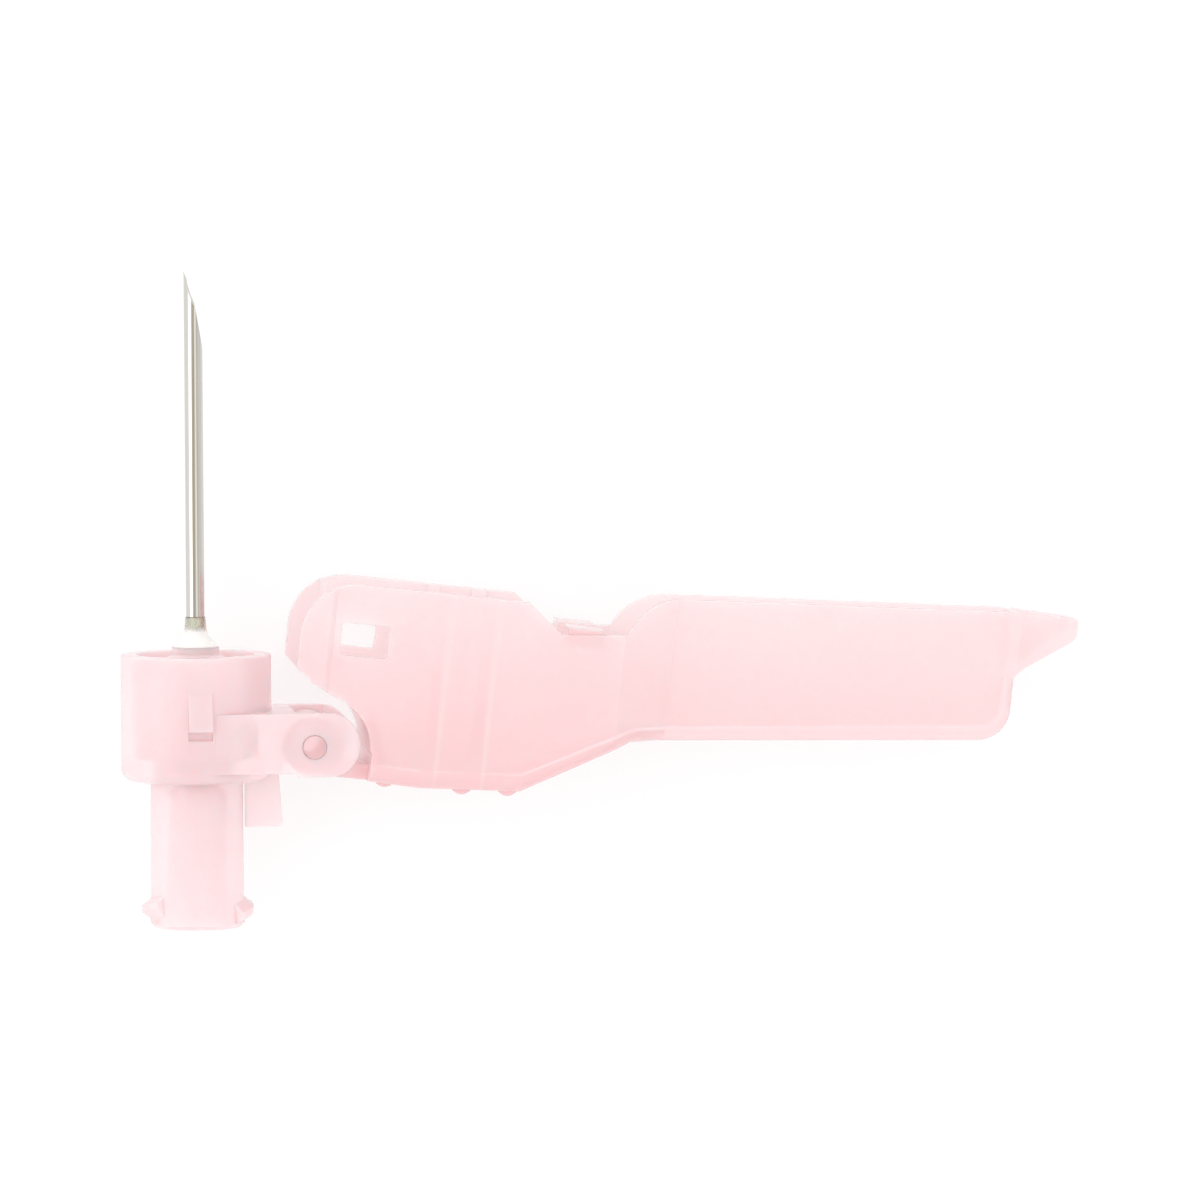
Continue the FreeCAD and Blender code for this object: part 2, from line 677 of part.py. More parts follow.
def long_edges(*corners):
    """A test for the long edges on both sides of the faces that run through these corners."""
    line = [Vector(number(u), number(v), 0) for u, v in corners]

    def on_line(vertex):
        spot = Vector(vertex.X, vertex.Y, 0)
        return any(
            spot.distanceToLine(start, end - start) < 0.01
            and start.y - 0.01 < spot.y < end.y + 0.01
            for start, end in zip(line, line[1:])
        )

    def test(edge):
        places = [vertex.Y for vertex in edge.Vertexes]
        return max(places) - min(places) > 0.5 and all(
            abs(vertex.Z) > 1 and on_line(vertex) for vertex in edge.Vertexes
        )

    return test


def make_shield_hollow():
    """What the side walls, back, end wall and hinge wall enclose; it is open towards the needle."""
    body = doc.addObject("PartDesign::Body", "shield_hollow")
    wall_top = "back_start + hinge_wall"
    profile = [
        (f"-{FAR}", f"-{FAR}"),
        ("-hinge_wall_reach", f"-{FAR}"),
        ("-hinge_wall_reach", "back_start"),
        ("0", wall_top),
        ("back_reach - back_wall", wall_top),
        ("belly_reach - back_wall", "belly_place"),
        ("knee_reach - back_wall", "knee_place"),
        ("-ramp_reach - narrow_wall", "ramp_place"),
        ("-narrow_end - narrow_wall", "shield_length - end_wall"),
        (f"-{FAR}", "shield_length - end_wall"),
    ]
    pad(body, "hollow_pad", draw(body, "hollow_profile", "XY_Plane", profile), "4 * side_outer")
    far_corner = stands_at(("-narrow_end - narrow_wall", "shield_length - end_wall"))
    round_edges(body, "hollow_end_fillet", "end_round - narrow_wall", far_corner)
    plan_waste(
        body,
        "hollow",
        "lip_inner",
        "side_inner",
        "narrow_half - shield_wall",
        "narrow_half - shield_wall",
    )
    round_edges(body, "hollow_back_fillet", "inner_round", long_edges(*profile[4:9]))
    return body


def make_shield():
    """The shield in one moulding: hollow form, window, ribs, ridges, needle hooks and knuckle."""
    form = make_shield_form()
    hollow = make_shield_hollow()
    doc.recompute()

    ridges = [
        make_ridge("low_ridge", "back_reach", "low_ridge_place", "low_ridge_proud"),
        make_ridge("mid_ridge", "back_reach", "mid_ridge_place", "mid_ridge_proud"),
        make_ridge("high_ridge", "knee_reach", "high_ridge_place", "high_ridge_proud"),
    ]
    ribs = make_ribs("first_rib", "first_rib_place", "first_rib_width")
    ribs += make_ribs("second_rib", "second_rib_place", "second_rib_width")
    hinge_wall = make_hinge_wall()
    room = cut("shield_room", hollow, fuse("inner_walls", hinge_wall, *ribs))

    relief = cylinder("ear_relief", "relief_radius", "2 * side_outer")
    shell = cut(
        "shield_shell",
        fuse("ridged_form", form, *ridges),
        fuse("shield_waste", room, relief, make_window(), make_beak_hollow()),
    )
    shield = fuse("shield", shell, *make_hooks(), *make_knuckle())
    place(shield, "hinge_x", "hinge_y", angle="-open_angle")
    return shield


def make_window():
    """What the two windows for the catches take out of the side walls, in one block."""
    body = doc.addObject("PartDesign::Body", "catch_window")
    inward = "window_offset - hinge_x - window_width / 2"
    outward = "window_offset - hinge_x + window_width / 2"
    corners = [
        (inward, "window_low"),
        (outward, "window_low"),
        (outward, "window_low + window_length"),
        (inward, "window_low + window_length"),
    ]
    pad(body, "window_pad", draw(body, "window_profile", "XY_Plane", corners), "4 * side_outer")
    round_edges(body, "window_fillet", "window_round", stands_at(*corners))
    return body


def make_ridge(name, reach, spot, proud):
    """A finger ridge: a round bar let into the back, with its crest this far outside."""
    return cylinder(
        name, "ridge_radius", "ridge_half", f"{reach} + {proud} - ridge_radius", spot
    )


def make_ribs(name, spot, width):
    """A transverse rib inside each side wall, from the back to the open edge."""
    ribs = []
    for side, (low, high) in (
        ("near", ("side_inner - rib_proud", "side_outer")),
        ("far", ("-(side_outer)", "-(side_inner - rib_proud)")),
    ):
        across = ("-rim_reach - 1", "back_reach")
        ribs.append(box(f"{name}_{side}", across, (spot, f"{spot} + {width}"), (low, high)))
    return ribs


def make_hinge_wall():
    """The curved wall that closes the wide part beside the ears, concentric with the hinge."""
    wall = doc.addObject("Part::Cylinder", "hinge_wall_round")
    bind(
        wall,
        Radius="relief_radius + hinge_wall",
        Height="4 * side_outer",
        Angle="2 * asin(hinge_wall_reach / (relief_radius + hinge_wall))",
    )
    start = "90 - asin(hinge_wall_reach / (relief_radius + hinge_wall)) / (1 deg)"
    place(wall, z="-2 * side_outer", angle=start)
    return wall


def make_beak_hollow():
    """The beak past the end wall is a scoop, open on the same side as the channel."""
    body = doc.addObject("PartDesign::Body", "beak_hollow")
    profile = [
        (f"-{FAR}", "shield_length"),
        ("-beak_reach - beak_wall", "shield_length"),
        ("-nose_reach + beak_depth - beak_wall", "nose_place - beak_wall"),
        (f"-{FAR}", "nose_place - beak_wall"),
    ]
    pad(body, "beak_pad", draw(body, "beak_profile", "XY_Plane", profile), "4 * side_outer")
    halves = []
    for sign in ("", "-"):
        halves.append(
            [
                ("shield_length", f"{sign}(narrow_half - shield_wall)"),
                ("nose_place", f"{sign}(beak_half - shield_wall)"),
                ("nose_place", f"{sign}(4 * side_outer)"),
                ("shield_length", f"{sign}(4 * side_outer)"),
            ]
        )
    sketch = draw(body, "beak_plan", "YZ_Plane", *halves)
    pocket(body, "beak_plan_cut", sketch, f"2 * {FAR}")
    return body


def make_hooks():
    """Two hooks across the notch, with a slot between them that lets the needle in."""
    slot = "cannula_radius + hook_gap"
    reach = ("-hook_reach", "-hook_reach + hook_wall")
    along = ("hook_place", "hook_place + hook_length")
    overlap = "shield_wall / 2"
    near = box("near_hook", reach, along, (slot, f"side_inner + {overlap}"))
    far = box("far_hook", reach, along, (f"-(side_inner + {overlap})", f"-({slot})"))
    return [near, far]


def make_knuckle():
    """Hinge barrel with its two pins, and the strap that joins it to the back wall."""
    barrel = cylinder("hinge_barrel", "knuckle_radius", "knuckle_half")
    pins = cylinder("hinge_pins", "pin_radius", "ear_half")
    strap = box(
        "hinge_strap",
        ("back_reach - strap_wall", "back_reach"),
        ("0", "back_start + hinge_wall / 2"),
        ("-(knuckle_half)", "knuckle_half"),
    )
    return [barrel, pins, strap]


PIECES = [make_hub(), make_cannula(), make_adhesive(), make_collar(), make_shield()]
doc.recompute()

failed = [item.Name for item in doc.Objects if {"Invalid", "Error"} & set(item.State)]
if failed:
    raise RuntimeError(f"these objects failed to rebuild: {', '.join(failed)}")
for piece in PIECES:
    if piece.Shape.isNull() or not piece.Shape.isValid() or len(piece.Shape.Solids) != 1:
        raise RuntimeError(f"{piece.Label} is not one valid solid")

os.makedirs("parts", exist_ok=True)
for piece in PIECES:
    piece.Shape.exportStep(f"parts/{piece.Label}.step")
    print(f"{piece.Label}: {piece.Shape.Volume:.1f} mm3")
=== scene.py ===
"""The finish of a hinged safety hypodermic needle: frosted pink polypropylene mouldings, a drawn and
ground steel tube, and the adhesive that bonds it. Metres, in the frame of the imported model."""

import math

import bmesh
import bpy
from mathutils import Matrix, Vector


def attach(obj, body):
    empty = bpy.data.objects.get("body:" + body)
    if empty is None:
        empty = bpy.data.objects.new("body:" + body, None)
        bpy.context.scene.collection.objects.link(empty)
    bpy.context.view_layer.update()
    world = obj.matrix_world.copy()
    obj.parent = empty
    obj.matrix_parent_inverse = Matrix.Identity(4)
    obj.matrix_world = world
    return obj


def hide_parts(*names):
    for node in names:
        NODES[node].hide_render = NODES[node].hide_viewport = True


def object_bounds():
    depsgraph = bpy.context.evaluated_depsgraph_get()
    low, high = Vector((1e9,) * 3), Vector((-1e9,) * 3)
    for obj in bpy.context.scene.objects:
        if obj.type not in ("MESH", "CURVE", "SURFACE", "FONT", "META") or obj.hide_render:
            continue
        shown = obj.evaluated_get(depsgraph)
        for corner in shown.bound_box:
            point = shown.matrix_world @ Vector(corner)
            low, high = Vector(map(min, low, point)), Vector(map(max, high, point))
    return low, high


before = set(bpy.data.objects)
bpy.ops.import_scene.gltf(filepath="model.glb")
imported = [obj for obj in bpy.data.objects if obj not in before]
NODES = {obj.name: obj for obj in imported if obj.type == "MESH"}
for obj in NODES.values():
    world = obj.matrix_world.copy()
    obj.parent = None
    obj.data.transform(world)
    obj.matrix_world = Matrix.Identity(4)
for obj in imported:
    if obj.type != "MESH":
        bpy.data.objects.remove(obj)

MM = 0.001
CAD_LOW, CAD_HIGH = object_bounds()

# The photograph's view: nearly straight down, from far away, with a long lens.
VIEW_CENTRE = Vector((27.955, 22.2, 0)) * MM
VIEW_FROM = Vector((-0.10, 0.063, 1))
VIEW_DISTANCE = 700 * MM
VIEW_WIDTH = 82.8 * MM
VIEW_ROLL = math.radians(0.33)
SENSOR_WIDTH = 36
CLIP_NEAR, CLIP_FAR = 10 * MM, 10

# The set: a sheet of white acrylic lit from below, inside a white light tent whose walls are brighter
# than its top, with a softbox on the left for the shadow.
FLOOR_HALF = 2.0
FLOOR_GAP = 0.02 * MM
FLOOR_ALBEDO = 0.32
FLOOR_GLOW = 0.68
FLOOR_ROUGHNESS = 0.9
# Azimuth in degrees round from +X, elevation in degrees up, distance and side in metres, watts.
SOFTBOX = {"azimuth": 150, "elevation": 55, "distance": 1.2, "side": 0.5, "power": 1.5}
# The tent's walls, by the angle from straight above towards +X, in degrees, with their strength.
TENT = [
    (-100, "FFFFFF", 1.12),
    (-45, "FFFFFF", 1.12),
    (0, "FFFFFF", 1.06),
    (45, "FFFFFF", 1.08),
    (100, "FFFFFF", 1.16),
]
# What polished surfaces mirror: the tent's seams and openings as bands along the needle.
MIRRORED = [
    (-100, "FBFBFA", 1.0),
    (-78, "FFFFFF", 1.2),
    (-66, "FFFFFF", 2.6),
    (-46, "FFFFFF", 2.6),
    (-33, "E0DACB", 1.0),
    (-20, "CCC6B8", 1.0),
    (-7, "CCC6B8", 1.0),
    (3, "FFFBEC", 1.0),
    (10, "FFFFF8", 1.3),
    (21, "FFFFFC", 1.3),
    (28, "DEDCD8", 1.0),
    (36, "E0DEDB", 1.0),
    (46, "F5F3F2", 1.0),
    (100, "F8F6F6", 1.0),
]
# Light crosses up to ten milky walls before it leaves, so its paths are longer than usual.
LIGHT_PATHS = {
    "max_bounces": 64,
    "diffuse_bounces": 32,
    "glossy_bounces": 48,
    "transmission_bounces": 48,
}

# Nearly all of a noise's values lie between these two.
NOISE_LOW, NOISE_HIGH = 0.3, 0.7
# How many directions the shading of a rounded edge looks in.
EDGE_SAMPLES = 4

# Pink polypropylene, injection moulded with a fine spark-eroded finish. It is milky, so a thin wall
# is pale and lets the light behind it through, and the pink deepens where the wall is thick.
# The IOR is below the plastic's 1.49, because scattering lets out light that a clear wall would trap.
# The scatter is the depth in millimetres that red, green and blue light reach under the surface.
POLYPROPYLENE = {
    "tint": "FFB9BE",
    "absorption": 75,
    "scatter": (0.6, 0.3, 0.31),
    "roughness": (0.2, 0.26),
    "ior": 1.25,
    "specular": 0.9,
}
# The pale and deep pigment of each moulding, and the share of light that crosses its skin unspread.
HUB_FINISH = {"pale": "FFE9EB", "deep": "FFE4E6", "clear": 0.3}
# On the shield, the deep pigment also gives the painted shade on the ribs' feet, and the pale one the
# painted highlight beside them.
SHIELD_FINISH = {"pale": "FFEBEC", "deep": "FFE0E2", "clear": 0.5}
# The melt's flow, in metres: clouds of pigment, slow waves over a cooled wall, the eroded grain.
# The grain of 0.03 mm is drawn four times as coarse, so that it shows.
CLOUD, WAVE, GRAIN = 7 * MM, 2.2 * MM, 0.12 * MM
CLOUD_DETAIL, WAVE_DETAIL, GRAIN_DETAIL = 3.0, 2.0, 1.0
CLOUD_SWIRL = 0.8
WAVE_DEPTH, GRAIN_DEPTH = 0.02 * MM, 0.0015 * MM
EDGE_ROUND = 0.1 * MM

# The shield's own directions at rest: along it from the hinge, and up from its web to its open edge.
HINGE = Vector((7.8, 12.65, 0)) * MM
SHIELD_LEAN = math.radians(6.73)
WEB_LEVEL, OPEN_LEVEL = -1.5 * MM, 9.5 * MM
# Where a rib joins the wall: the start and end of its foot along the shield.
RIB_FEET = [(7.4 * MM, 8.25 * MM), (10.5 * MM, 11.5 * MM)]
# How soft the edges of the painted shade on a rib's foot are, and how wide the painted highlight at a
# rib's end is.
RIB_BLUR, RIB_HIGHLIGHT_WIDTH = 0.12 * MM, 0.3 * MM
# What clouds add to the pigment's depth, what the painted shade on a rib's foot adds, and what the
# painted highlight at a rib's end takes off.
CLOUD_SHARE, RIB_SHADE_SHARE, RIB_HIGHLIGHT_SHARE = 0.35, 0.5, 0.9

# Stainless steel, drawn and polished. The die leaves lines along the tube, in metres across and
# along. They are drawn twice as coarse as they are, so that they show.
STEEL = {"dark": "C6C3BE", "light": "D8D5CF", "roughness": (0.07, 0.14)}
LINE_WIDTH, LINE_LENGTH, LINE_DEPTH = 0.06 * MM, 9 * MM, 0.001 * MM
LINE_DETAIL = 2.0
STEEL_EDGE_ROUND = 0.02 * MM

# Epoxy adhesive, dropped on and cured. Its skirt is white, and the film above it is clear.
EPOXY = {
    "white": "FFFFF6",
    "waxy": "F8FBEE",
    "scatter": (0.15, 0.15, 0.14),
    "roughness": (0.2, 0.35),
    "ior": 1.53,
}
SKIRT_TOP, FILM_FOOT = 20.35 * MM, 20.75 * MM
LUMP, LUMP_DEPTH = 0.5 * MM, 0.01 * MM
LUMP_DETAIL = 2.0
EPOXY_EDGE_ROUND = 0.05 * MM

# The bond's section, as radius and height in millimetres: up its outside from the foot on the neck to
# the end of the film, down the bore along the tube, and round the plug in the neck's well.
BOND_PROFILE = [
    (1.58, 19.302),
    (1.585, 19.38),
    (1.50, 19.49),
    (1.33, 19.62),
    (1.16, 19.77),
    (1.02, 19.93),
    (0.91, 20.11),
    (0.83, 20.31),
    (0.77, 20.53),
    (0.735, 20.77),
    (0.72, 21.00),
    (0.71, 21.22),
    (0.69, 21.34),
    (0.65, 21.395),
    (0.637, 21.40),
    (0.637, 17.702),
    (1.098, 17.702),
    (1.098, 19.302),
]
BOND_SIDES = 72
BOND_CREASE = math.radians(40)


def linear(hex_colour):
    """The linear colour of an sRGB hex value."""
    shares = [int(hex_colour[i : i + 2], 16) / 255 for i in (0, 2, 4)]
    levels = [s / 12.92 if s <= 0.04045 else ((s + 0.055) / 1.055) ** 2.4 for s in shares]
    return (*levels, 1)


def add(tree, kind, inputs=None, **settings):
    """A node with its settings; inputs hold a value, or the output socket to link."""
    node = tree.nodes.new(kind)
    for name, value in settings.items():
        setattr(node, name, value)
    for name, value in (inputs or {}).items():
        if isinstance(value, bpy.types.NodeSocket):
            tree.links.new(value, node.inputs[name])
        else:
            node.inputs[name].default_value = value
    return node


def new_material(name):
    """An empty material and its tree."""
    material = bpy.data.materials.new(name)
    material.use_nodes = True
    material.node_tree.nodes.clear()
    return material, material.node_tree


def spread(noise, low, high):
    """What maps a noise's usual values to the span from low to high."""
    return {
        "Value": noise,
        "From Min": NOISE_LOW,
        "From Max": NOISE_HIGH,
        "To Min": low,
        "To Max": high,
    }


def even_flow(tree, place, clouds):
    """The hub and collar: pigment that only drifts in clouds, the same at every place."""
    return add(tree, "ShaderNodeMapRange", spread(clouds, 0, 1)).outputs["Result"]


def between_slopes(tree, value, rise, fall):
    """1 between two slopes and 0 beyond them, each given as where it is 0 and where it is 1."""
    slopes = [
        add(tree, "ShaderNodeMapRange", {"Value": value, "From Min": none, "From Max": full})
        for none, full in (rise, fall)
    ]
    return add(
        tree,
        "ShaderNodeMath",
        {0: slopes[0].outputs["Result"], 1: slopes[1].outputs["Result"]},
        operation="MULTIPLY",
    ).outputs["Value"]


def shield_pigment_and_painted_rib_shading(tree, place, clouds):
    """The shield: pigment that drifts in clouds, deeper towards the thick web and paler towards the
    open edge, with painted shade on the ribs' feet and a painted highlight in a pale line at the end
    of each rib's foot."""
    turned = HINGE.copy()
    turned.rotate(Matrix.Rotation(SHIELD_LEAN, 3, "Z"))
    own = add(
        tree,
        "ShaderNodeMapping",
        {"Vector": place, "Location": -turned, "Rotation": (0, 0, SHIELD_LEAN)},
    )
    spots = add(tree, "ShaderNodeSeparateXYZ", {"Vector": own.outputs["Vector"]})
    along, up = spots.outputs["X"], spots.outputs["Y"]
    low = add(
        tree,
        "ShaderNodeMapRange",
        {"Value": up, "From Min": OPEN_LEVEL, "From Max": WEB_LEVEL},
    ).outputs["Result"]
    depth_and_painted_shade = add(
        tree, "ShaderNodeMath", {0: clouds, 1: CLOUD_SHARE, 2: low}, operation="MULTIPLY_ADD"
    )
    # Each rib gets painted shade on its foot, stronger towards the web, and a painted highlight at
    # the foot's end.
    for start, end in RIB_FEET:
        foot = between_slopes(
            tree, along, (start - RIB_BLUR, start + RIB_BLUR), (end + RIB_BLUR, end - RIB_BLUR)
        )
        painted_rib_highlight = between_slopes(tree, along, (end - RIB_HIGHLIGHT_WIDTH, end), (end + RIB_HIGHLIGHT_WIDTH, end))
        painted_rib_shade = add(tree, "ShaderNodeMath", {0: foot, 1: low}, operation="MULTIPLY")
        for painted_mark, share in ((painted_rib_shade.outputs["Value"], RIB_SHADE_SHARE), (painted_rib_highlight, -RIB_HIGHLIGHT_SHARE)):
            depth_and_painted_shade = add(
                tree,
                "ShaderNodeMath",
                {0: painted_mark, 1: share, 2: depth_and_painted_shade.outputs["Value"]},
                operation="MULTIPLY_ADD",
            )
    return depth_and_painted_shade.outputs["Value"]


def moulded_polypropylene(name, finish, pigment_and_painted_shade):
    """A milky pink moulding; the last argument gives how deep its pigment is, from 0 to 1, with any
    painted shade and painted highlight that it draws folded in.
    """
    values = POLYPROPYLENE
    material, tree = new_material(name)
    place = add(tree, "ShaderNodeTexCoord").outputs["Object"]
    inside = add(tree, "ShaderNodeNewGeometry").outputs["Backfacing"]
    clouds = add(
        tree,
        "ShaderNodeTexNoise",
        {
            "Vector": place,
            "Scale": 1 / CLOUD,
            "Detail": CLOUD_DETAIL,
            "Distortion": CLOUD_SWIRL,
        },
    ).outputs["Fac"]
    waves = add(
        tree, "ShaderNodeTexNoise", {"Vector": place, "Scale": 1 / WAVE, "Detail": WAVE_DETAIL}
    ).outputs["Fac"]
    grain = add(
        tree, "ShaderNodeTexNoise", {"Vector": place, "Scale": 1 / GRAIN, "Detail": GRAIN_DETAIL}
    ).outputs["Fac"]
    # The pigment's depth; on the shield it holds the painted shade and painted highlight of the ribs.
    pigment = add(
        tree,
        "ShaderNodeMixRGB",
        {
            "Fac": pigment_and_painted_shade(tree, place, clouds),
            "Color1": linear(finish["pale"]),
            "Color2": linear(finish["deep"]),
        },
    )
    # Light that is already inside meets clear plastic at the surface, not pigment once more.
    colour = add(
        tree,
        "ShaderNodeMixRGB",
        {"Fac": inside, "Color1": pigment.outputs["Color"], "Color2": (1, 1, 1, 1)},
    )
    clear = add(tree, "ShaderNodeMath", {0: inside, 1: finish["clear"]}, operation="MAXIMUM")
    sheen = add(tree, "ShaderNodeMapRange", spread(waves, *values["roughness"]))
    edges = add(tree, "ShaderNodeBevel", {"Radius": EDGE_ROUND}, samples=EDGE_SAMPLES)
    wavy = add(
        tree,
        "ShaderNodeBump",
        {
            "Height": waves,
            "Distance": WAVE_DEPTH,
            "Strength": 1.0,
            "Normal": edges.outputs["Normal"],
        },
    )
    grainy = add(
        tree,
        "ShaderNodeBump",
        {
            "Height": grain,
            "Distance": GRAIN_DEPTH,
            "Strength": 1.0,
            "Normal": wavy.outputs["Normal"],
        },
    )
    shader = add(
        tree,
        "ShaderNodeBsdfPrincipled",
        {
            "Base Color": colour.outputs["Color"],
            "Roughness": sheen.outputs["Result"],
            "IOR": values["ior"],
            "Specular IOR Level": values["specular"],
            "Transmission Weight": clear.outputs["Value"],
            "Subsurface Weight": 1.0,
            "Subsurface Radius": values["scatter"],
            "Subsurface Scale": 1 * MM,
            "Normal": grainy.outputs["Normal"],
        },
        subsurface_method="RANDOM_WALK",
    )
    volume = add(
        tree,
        "ShaderNodeVolumeAbsorption",
        {"Color": linear(values["tint"]), "Density": values["absorption"]},
    )
    add(
        tree,
        "ShaderNodeOutputMaterial",
        {"Surface": shader.outputs["BSDF"], "Volume": volume.outputs["Volume"]},
    )
    return material


def drawn_steel():
    """Stainless steel tube, drawn and polished: fine lines along it and a clean reflection."""
    material, tree = new_material("stainless_steel_drawn")
    place = add(tree, "ShaderNodeTexCoord").outputs["Object"]
    along = add(
        tree, "ShaderNodeMapping", {"Vector": place, "Scale": (1, LINE_WIDTH / LINE_LENGTH, 1)}
    )
    lines = add(
        tree,
        "ShaderNodeTexNoise",
        {"Vector": along.outputs["Vector"], "Scale": 1 / LINE_WIDTH, "Detail": LINE_DETAIL},
    ).outputs["Fac"]
    tone = add(
        tree,
        "ShaderNodeMixRGB",
        {"Fac": lines, "Color1": linear(STEEL["dark"]), "Color2": linear(STEEL["light"])},
    )
    sheen = add(tree, "ShaderNodeMapRange", spread(lines, *STEEL["roughness"]))
    edges = add(tree, "ShaderNodeBevel", {"Radius": STEEL_EDGE_ROUND}, samples=EDGE_SAMPLES)
    lined = add(
        tree,
        "ShaderNodeBump",
        {
            "Height": lines,
            "Distance": LINE_DEPTH,
            "Strength": 1.0,
            "Normal": edges.outputs["Normal"],
        },
    )
    shader = add(
        tree,
        "ShaderNodeBsdfPrincipled",
        {
            "Base Color": tone.outputs["Color"],
            "Metallic": 1.0,
            "Roughness": sheen.outputs["Result"],
            "Normal": lined.outputs["Normal"],
        },
    )
    add(tree, "ShaderNodeOutputMaterial", {"Surface": shader.outputs["BSDF"]})
    return material


def cured_epoxy():
    """Cured epoxy adhesive, whitish and waxy where it is thick and clear where it is a film."""
    material, tree = new_material("epoxy_cured")
    place = add(tree, "ShaderNodeTexCoord").outputs["Object"]
    inside = add(tree, "ShaderNodeNewGeometry").outputs["Backfacing"]
    lumps = add(
        tree, "ShaderNodeTexNoise", {"Vector": place, "Scale": 1 / LUMP, "Detail": LUMP_DETAIL}
    ).outputs["Fac"]
    height = add(tree, "ShaderNodeSeparateXYZ", {"Vector": place}).outputs["Y"]
    film = add(
        tree,
        "ShaderNodeMapRange",
        {"Value": height, "From Min": SKIRT_TOP, "From Max": FILM_FOOT},
    ).outputs["Result"]
    clear = add(tree, "ShaderNodeMath", {0: inside, 1: film}, operation="MAXIMUM")
    colour = add(
        tree,
        "ShaderNodeMixRGB",
        {"Fac": lumps, "Color1": linear(EPOXY["white"]), "Color2": linear(EPOXY["waxy"])},
    )
    sheen = add(tree, "ShaderNodeMapRange", spread(lumps, *EPOXY["roughness"]))
    edges = add(tree, "ShaderNodeBevel", {"Radius": EPOXY_EDGE_ROUND}, samples=EDGE_SAMPLES)
    lumpy = add(
        tree,
        "ShaderNodeBump",
        {
            "Height": lumps,
            "Distance": LUMP_DEPTH,
            "Strength": 1.0,
            "Normal": edges.outputs["Normal"],
        },
    )
    shader = add(
        tree,
        "ShaderNodeBsdfPrincipled",
        {
            "Base Color": colour.outputs["Color"],
            "Roughness": sheen.outputs["Result"],
            "IOR": EPOXY["ior"],
            "Transmission Weight": clear.outputs["Value"],
            "Subsurface Weight": 1.0,
            "Subsurface Radius": EPOXY["scatter"],
            "Subsurface Scale": 1 * MM,
            "Normal": lumpy.outputs["Normal"],
        },
        subsurface_method="RANDOM_WALK",
    )
    add(tree, "ShaderNodeOutputMaterial", {"Surface": shader.outputs["BSDF"]})
    return material


def dress(node, material):
    """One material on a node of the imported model."""
    mesh = NODES[node].data
    mesh.materials.clear()
    mesh.materials.append(material)


def make_bond(material):
    """The cured bond as a turned solid round the tube: its plug, its flared skirt and its film."""
    corners = [(radius * MM, height * MM) for radius, height in BOND_PROFILE]
    mesh = bmesh.new()
    rings = []
    for step in range(BOND_SIDES):
        turn = 2 * math.pi * step / BOND_SIDES
        ring = [(r * math.cos(turn), y, r * math.sin(turn)) for r, y in corners]
        rings.append([mesh.verts.new(corner) for corner in ring])
    for step, ring in enumerate(rings):
        after = rings[(step + 1) % BOND_SIDES]
        for index in range(len(corners)):
            following = (index + 1) % len(corners)
            mesh.faces.new((ring[index], ring[following], after[following], after[index]))
    bmesh.ops.recalc_face_normals(mesh, faces=mesh.faces)
    data = bpy.data.meshes.new("bond")
    mesh.to_mesh(data)
    mesh.free()
    data.polygons.foreach_set("use_smooth", [True] * len(data.polygons))
    data.set_sharp_from_angle(angle=BOND_CREASE)
    data.materials.append(material)
    bond = bpy.data.objects.new("bond", data)
    bpy.context.scene.collection.objects.link(bond)
    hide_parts("adhesive")
    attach(bond, "hub")


def make_floor():
    """A sheet of white acrylic, lit from below, that the part lies on."""
    mesh = bpy.data.meshes.new("floor")
    half, low = FLOOR_HALF, CAD_LOW.z - FLOOR_GAP
    mesh.from_pydata(
        [(-half, -half, low), (half, -half, low), (half, half, low), (-half, half, low)],
        [],
        [(0, 1, 2, 3)],
    )
    floor = bpy.data.objects.new("floor", mesh)
    bpy.context.scene.collection.objects.link(floor)
    material, tree = new_material("white_acrylic_lit")
    shader = add(
        tree,
        "ShaderNodeBsdfPrincipled",
        {
            "Base Color": (FLOOR_ALBEDO, FLOOR_ALBEDO, FLOOR_ALBEDO, 1),
            "Roughness": FLOOR_ROUGHNESS,
            "Emission Color": (1, 1, 1, 1),
            "Emission Strength": FLOOR_GLOW,
        },
    )
    add(tree, "ShaderNodeOutputMaterial", {"Surface": shader.outputs["BSDF"]})
    mesh.materials.append(material)


def make_softbox():
    """A square softbox up on the left that faces the part."""
    data = bpy.data.lights.new("softbox_left", "AREA")
    data.shape = "SQUARE"
    data.size = SOFTBOX["side"]
    data.energy = SOFTBOX["power"]
    softbox = bpy.data.objects.new("softbox_left", data)
    bpy.context.scene.collection.objects.link(softbox)
    turn, rise = math.radians(SOFTBOX["azimuth"]), math.radians(SOFTBOX["elevation"])
    towards = Vector(
        (math.cos(turn) * math.cos(rise), math.sin(turn) * math.cos(rise), math.sin(rise))
    )
    softbox.location = VIEW_CENTRE + towards * SOFTBOX["distance"]
    softbox.rotation_euler = (-towards).to_track_quat("-Z", "Y").to_euler()


def add_bands(tree, angle, bands):
    """A ramp of colours over an angle, from stops of degrees, hex colour and strength."""
    first, last = bands[0][0], bands[-1][0]
    share = add(
        tree,
        "ShaderNodeMapRange",
        {"Value": angle, "From Min": math.radians(first), "From Max": math.radians(last)},
    )
    ramp = add(tree, "ShaderNodeValToRGB", {"Fac": share.outputs["Result"]})
    stops = ramp.color_ramp.elements
    for index, (degrees, colour, strength) in enumerate(bands):
        spot = (degrees - first) / (last - first)
        stop = stops[index] if index < len(stops) else stops.new(spot)
        stop.position = spot
        stop.color = [level * strength for level in linear(colour)[:3]] + [1]
    return ramp.outputs["Color"]


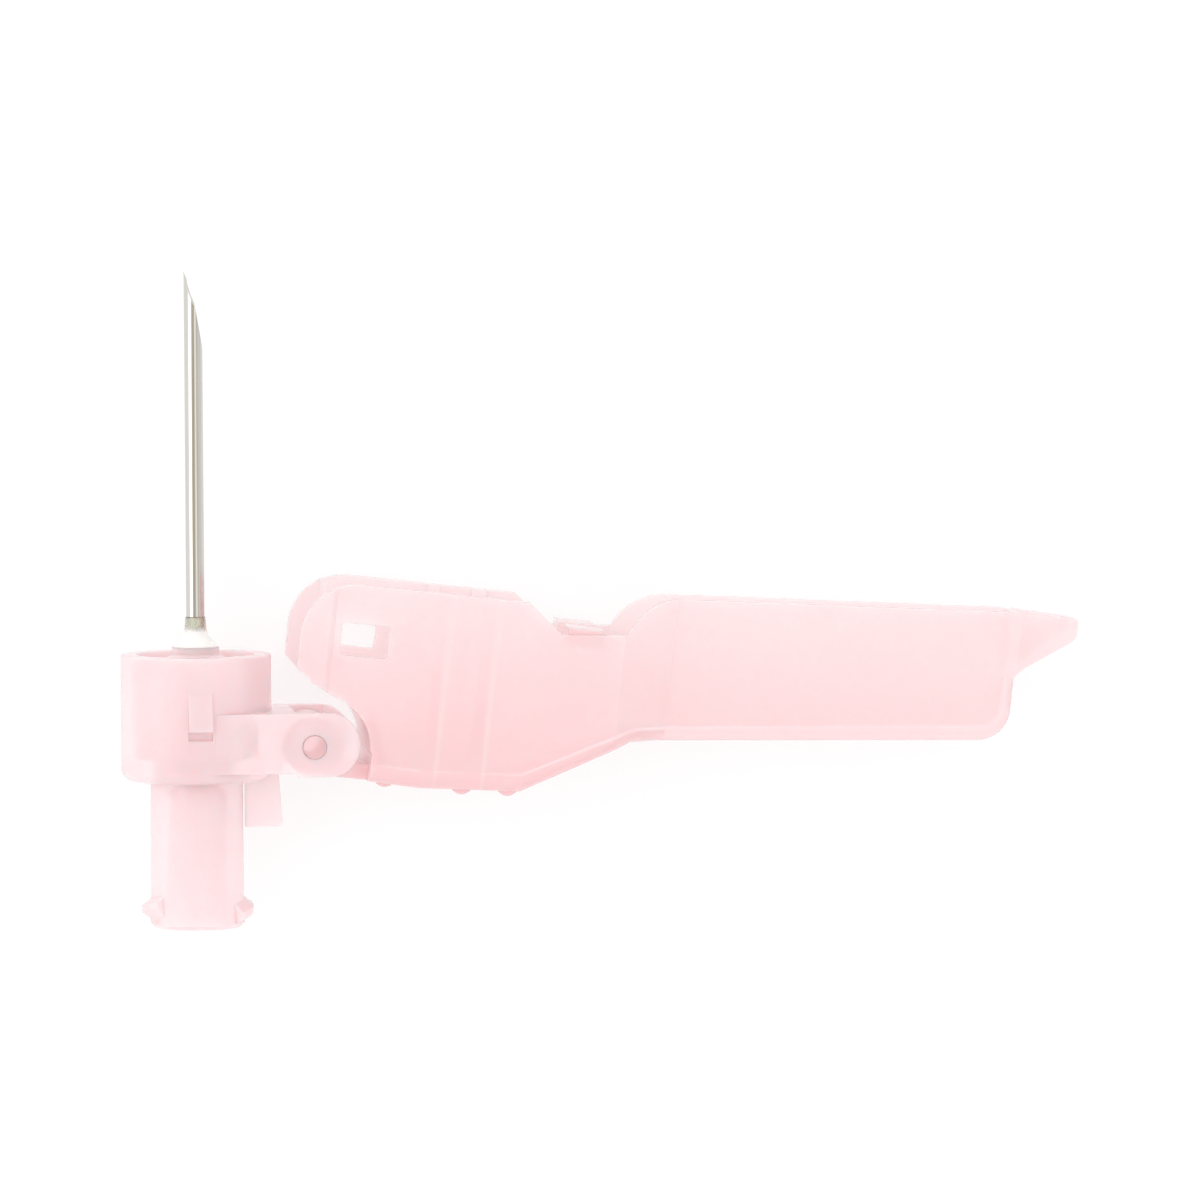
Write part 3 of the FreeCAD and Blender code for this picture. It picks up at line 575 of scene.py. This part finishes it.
def make_tent():
    """The white light tent round the part, and the bands in it that polished surfaces mirror."""
    world = bpy.data.worlds.new("light_tent")
    bpy.context.scene.world = world
    world.use_nodes = True
    tree = world.node_tree
    tree.nodes.clear()
    direction = add(tree, "ShaderNodeTexCoord").outputs["Generated"]
    parts = add(tree, "ShaderNodeSeparateXYZ", {"Vector": direction}).outputs
    angle = add(
        tree, "ShaderNodeMath", {0: parts["X"], 1: parts["Z"]}, operation="ARCTAN2"
    ).outputs["Value"]
    # A rough surface that light passes through counts as glossy too, so that is taken off.
    path = add(tree, "ShaderNodeLightPath").outputs
    mirrored = add(
        tree,
        "ShaderNodeMath",
        {0: path["Is Glossy Ray"], 1: path["Is Transmission Ray"]},
        operation="SUBTRACT",
        use_clamp=True,
    )
    seen = add(
        tree,
        "ShaderNodeMixRGB",
        {
            "Fac": mirrored.outputs["Value"],
            "Color1": add_bands(tree, angle, TENT),
            "Color2": add_bands(tree, angle, MIRRORED),
        },
    )
    background = add(tree, "ShaderNodeBackground", {"Color": seen.outputs["Color"]})
    add(tree, "ShaderNodeOutputWorld", {"Surface": background.outputs["Background"]})


def make_surroundings():
    """The floor, the tent and the softbox, and how far light is followed among them."""
    scene = bpy.context.scene
    scene.view_settings.view_transform = "Standard"
    for name, bounces in LIGHT_PATHS.items():
        setattr(scene.cycles, name, bounces)
    make_floor()
    make_tent()
    make_softbox()


def make_camera():
    """The photograph's camera, turned a little about its own line of sight."""
    data = bpy.data.cameras.new("camera")
    data.sensor_width = SENSOR_WIDTH
    data.lens = SENSOR_WIDTH * VIEW_DISTANCE / VIEW_WIDTH
    data.clip_start, data.clip_end = CLIP_NEAR, CLIP_FAR
    camera = bpy.data.objects.new("camera", data)
    bpy.context.scene.collection.objects.link(camera)
    back = VIEW_FROM.normalized()
    right = Vector((0, 1, 0)).cross(back).normalized()
    up = back.cross(right)
    turn = Matrix((right, up, back)).transposed()
    camera.matrix_world = Matrix.Translation(VIEW_CENTRE + back * VIEW_DISTANCE) @ (
        turn @ Matrix.Rotation(-VIEW_ROLL, 3, "Z")
    ).to_4x4()
    bpy.context.scene.camera = camera


hub_plastic = moulded_polypropylene("hub_polypropylene_moulded", HUB_FINISH, even_flow)
dress("hub", hub_plastic)
dress("collar", hub_plastic)
dress("shield", moulded_polypropylene("shield_polypropylene_moulded", SHIELD_FINISH, shield_pigment_and_painted_rib_shading))
dress("cannula", drawn_steel())
make_bond(cured_epoxy())
make_surroundings()
make_camera()
